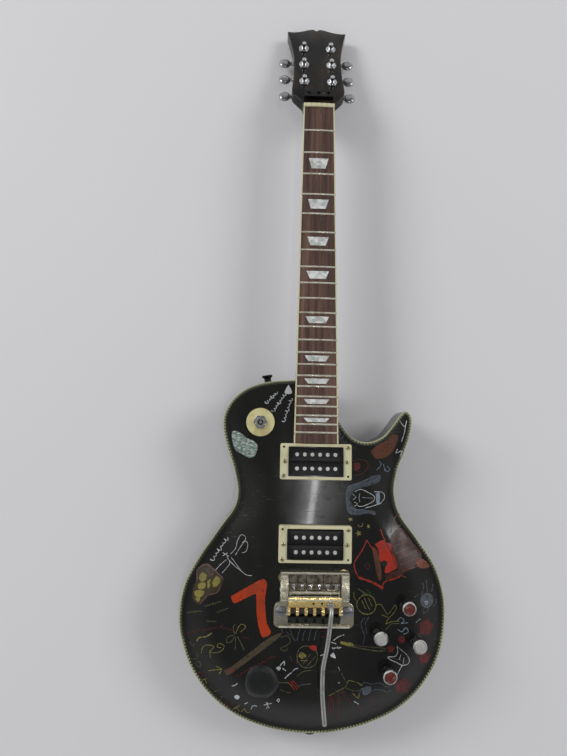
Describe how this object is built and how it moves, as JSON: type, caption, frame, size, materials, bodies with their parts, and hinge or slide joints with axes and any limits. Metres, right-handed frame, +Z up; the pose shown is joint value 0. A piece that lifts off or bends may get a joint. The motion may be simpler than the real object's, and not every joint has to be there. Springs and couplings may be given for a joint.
{
  "type": "broken electric guitar",
  "caption": "Black carved-top solid-body electric guitar with hand-painted marks, a cam vibrato and worn plating, its strings and selector lever gone; lies on its back.",
  "frame": {"origin": "on the floor under the middle of the whole guitar's box, as it lies on its back", "axes": "+X to the treble side, +Y along the neck to the headstock, +Z up out of the front face"},
  "size_m": [0.3321, 0.9946, 0.1045],
  "materials": {
    "black_lacquer": "gloss nitro-style lacquer, scuffed",
    "neck_lacquer": "black and wine lacquer over wood",
    "purfling": "yellowed, aged",
    "rosewood": "dry open grain",
    "pearl": "pearloid",
    "cream_plastic": "yellowed plastic",
    "fretwire": "worn nickel",
    "steel": "plain",
    "chrome": "spotted chrome",
    "black_metal": "black finish",
    "worn_gold": "gold plate worn to nickel",
    "gold": "gold plate",
    "black_plastic": "moulded",
    "knob_metal": "turned, with inset cap"
  },
  "bodies": {
    "root": {"body_back": "black_lacquer", "body_top": "black_lacquer", "body_binding": "purfling", "neck": "neck_lacquer", "truss_rod": "steel", "fretboard": "rosewood", "fretboard_edge_strips": "cream_plastic", "frets": "fretwire", "fret_inlays": "pearl", "nut": "cream_plastic", "string_lock_bar": "black_metal", "string_lock_screws": "black_metal", "strap_buttons": "black_metal", "strap_button_screws": "steel", "bridge_post_bushings": "worn_gold", "control_cover": "black_plastic", "switch_cover": "black_plastic", "cover_screws": "steel", "tuner_housings": "chrome", "tuner_bushings": "chrome", "tuner_screws": "chrome", "switch_ring": "cream_plastic", "switch_nut": "chrome", "selector_switch": "steel", "switch_lever_stub": "black_metal", "pickup_rings": "cream_plastic", "pickup_bobbins": "black_plastic", "pickup_baseplates": "steel", "pickup_slugs": "fretwire", "pickup_pole_screws": "fretwire", "pickup_height_screws": "worn_gold", "pickup_ring_screws": "worn_gold", "vibrato_frame": "worn_gold", "vibrato_axle": "steel", "saddles": "worn_gold", "frame_studs": "black_metal", "control_pots": "steel", "output_jack": "steel", "jack_plate": "black_metal"},
    "cam": {"vibrato_cam": "gold", "arm_socket": "steel"},
    "arm": {"vibrato_arm": "chrome"},
    "rollers": {"saddle_rollers": "chrome"},
    "tuner_button_1": {"tuner_button_1": "chrome"},
    "tuner_post_1": {"tuner_post_1": "chrome"},
    "tuner_button_2": {"tuner_button_2": "chrome"},
    "tuner_post_2": {"tuner_post_2": "chrome"},
    "tuner_button_3": {"tuner_button_3": "chrome"},
    "tuner_post_3": {"tuner_post_3": "chrome"},
    "tuner_button_4": {"tuner_button_4": "chrome"},
    "tuner_post_4": {"tuner_post_4": "chrome"},
    "tuner_button_5": {"tuner_button_5": "chrome"},
    "tuner_post_5": {"tuner_post_5": "chrome"},
    "tuner_button_6": {"tuner_button_6": "chrome"},
    "tuner_post_6": {"tuner_post_6": "chrome"},
    "knob_1": {"knob_1": "knob_metal"},
    "knob_2": {"knob_2": "knob_metal"},
    "knob_3": {"knob_3": "knob_metal"},
    "knob_4": {"knob_4": "knob_metal"}
  },
  "joints": [
    {"name": "tuner_button_1_turn", "type": "hinge", "parent": "root", "child": "tuner_button_1", "pos_m": [-0.0475, 0.43896, 0.01217], "axis": [-1, 0, 0], "continuous": true},
    {"name": "tuner_post_1_turn", "type": "hinge", "parent": "root", "child": "tuner_post_1", "pos_m": [-0.02, 0.45208, 0.02894], "axis": [0, 0.3089, 0.9511], "continuous": true},
    {"name": "tuner_button_2_turn", "type": "hinge", "parent": "root", "child": "tuner_button_2", "pos_m": [-0.0475, 0.40424, 0.02345], "axis": [-1, 0, 0], "continuous": true},
    {"name": "tuner_post_2_turn", "type": "hinge", "parent": "root", "child": "tuner_post_2", "pos_m": [-0.02, 0.41736, 0.04021], "axis": [0, 0.3089, 0.9511], "continuous": true},
    {"name": "tuner_button_3_turn", "type": "hinge", "parent": "root", "child": "tuner_button_3", "pos_m": [-0.0475, 0.36953, 0.03472], "axis": [-1, 0, 0], "continuous": true},
    {"name": "tuner_post_3_turn", "type": "hinge", "parent": "root", "child": "tuner_post_3", "pos_m": [-0.02, 0.38265, 0.05149], "axis": [0, 0.3089, 0.9511], "continuous": true},
    {"name": "tuner_button_4_turn", "type": "hinge", "parent": "root", "child": "tuner_button_4", "pos_m": [0.0475, 0.43896, 0.01217], "axis": [1, 0, 0], "continuous": true},
    {"name": "tuner_post_4_turn", "type": "hinge", "parent": "root", "child": "tuner_post_4", "pos_m": [0.02, 0.45208, 0.02894], "axis": [0, 0.3089, 0.9511], "continuous": true},
    {"name": "tuner_button_5_turn", "type": "hinge", "parent": "root", "child": "tuner_button_5", "pos_m": [0.0475, 0.40424, 0.02345], "axis": [1, 0, 0], "continuous": true},
    {"name": "tuner_post_5_turn", "type": "hinge", "parent": "root", "child": "tuner_post_5", "pos_m": [0.02, 0.41736, 0.04021], "axis": [0, 0.3089, 0.9511], "continuous": true},
    {"name": "tuner_button_6_turn", "type": "hinge", "parent": "root", "child": "tuner_button_6", "pos_m": [0.0475, 0.36953, 0.03472], "axis": [1, 0, 0], "continuous": true},
    {"name": "tuner_post_6_turn", "type": "hinge", "parent": "root", "child": "tuner_post_6", "pos_m": [0.02, 0.38265, 0.05149], "axis": [0, 0.3089, 0.9511], "continuous": true},
    {"name": "knob_1_turn", "type": "hinge", "parent": "root", "child": "knob_1", "pos_m": [0.114, -0.33206, 0.06989], "axis": [0, -0.0525, 0.9986], "range_deg": [-270, 0]},
    {"name": "knob_2_turn", "type": "hinge", "parent": "root", "child": "knob_2", "pos_m": [0.08, -0.36701, 0.06805], "axis": [0, -0.0525, 0.9986], "range_deg": [-270, 0]},
    {"name": "knob_3_turn", "type": "hinge", "parent": "root", "child": "knob_3", "pos_m": [0.127, -0.376, 0.06758], "axis": [0, -0.0525, 0.9986], "range_deg": [-270, 0]},
    {"name": "knob_4_turn", "type": "hinge", "parent": "root", "child": "knob_4", "pos_m": [0.091, -0.41095, 0.06574], "axis": [0, -0.0525, 0.9986], "range_deg": [-270, 0]},
    {"name": "vibrato_rock", "type": "hinge", "parent": "root", "child": "cam", "pos_m": [0, -0.33805, 0.07939], "axis": [1, 0, 0], "range_deg": [-6, 5], "stiffness_Nm_per_rad": 6},
    {"name": "arm_swing", "type": "hinge", "parent": "cam", "child": "arm", "pos_m": [0.0185, -0.33009, 0.08421], "axis": [0, -0.0525, 0.9986], "range_deg": [-60, 30]},
    {"name": "saddle_rollers_turn", "type": "hinge", "parent": "root", "child": "rollers", "pos_m": [0, -0.30788, 0.08268], "axis": [1, 0, 0], "continuous": true}
  ],
  "couplings": [
    {"joint": "tuner_post_1_turn", "follows": "tuner_button_1_turn", "ratio": 0.071429},
    {"joint": "tuner_post_2_turn", "follows": "tuner_button_2_turn", "ratio": 0.071429},
    {"joint": "tuner_post_3_turn", "follows": "tuner_button_3_turn", "ratio": 0.071429},
    {"joint": "tuner_post_4_turn", "follows": "tuner_button_4_turn", "ratio": -0.071429},
    {"joint": "tuner_post_5_turn", "follows": "tuner_button_5_turn", "ratio": -0.071429},
    {"joint": "tuner_post_6_turn", "follows": "tuner_button_6_turn", "ratio": -0.071429}
  ]
}
